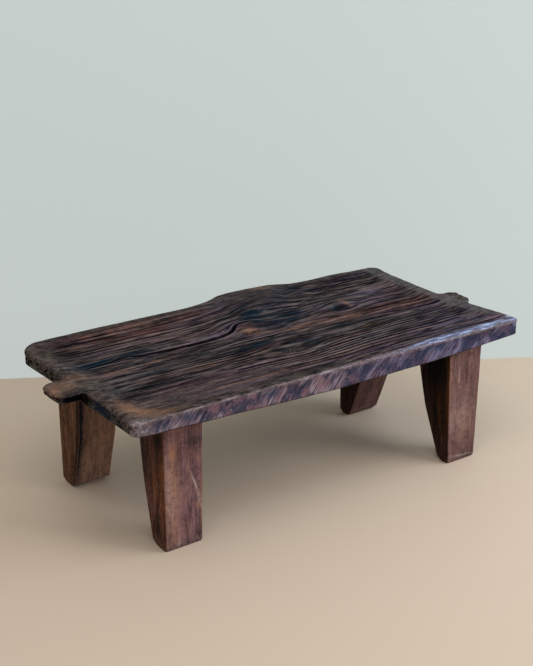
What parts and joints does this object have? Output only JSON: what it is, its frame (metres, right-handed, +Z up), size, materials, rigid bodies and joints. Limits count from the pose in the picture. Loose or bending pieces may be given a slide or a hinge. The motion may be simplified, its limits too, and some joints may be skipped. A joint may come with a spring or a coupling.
{
  "type": "low table",
  "caption": "Low floor table: a thick hewn plank top with a carved lug on each end, on tapered block legs that are tenoned into its underside.",
  "frame": {"origin": "on the floor, under the middle of the table's outline, lugs and knot swell included", "axes": "+X along the plank to its right end, +Y towards its back edge with the knot swell, +Z up"},
  "size_m": [1.304, 0.6339, 0.392],
  "materials": {
    "slab_wood": "weathered dark hardwood, waxed",
    "leg_wood": "dark red-brown hardwood, worn and waxed",
    "wedge_wood": "raw split hardwood"
  },
  "bodies": {
    "root": {"top_slab": "slab_wood", "leg_front_left": "leg_wood", "leg_front_right": "leg_wood", "leg_back_left": "leg_wood", "leg_back_right": "leg_wood", "wedge_front_left_outer": "wedge_wood", "wedge_front_left_inner": "wedge_wood", "wedge_front_right_outer": "wedge_wood", "wedge_front_right_inner": "wedge_wood", "wedge_back_left_outer": "wedge_wood", "wedge_back_left_inner": "wedge_wood", "wedge_back_right_outer": "wedge_wood", "wedge_back_right_inner": "wedge_wood"}
  },
  "joints": []
}
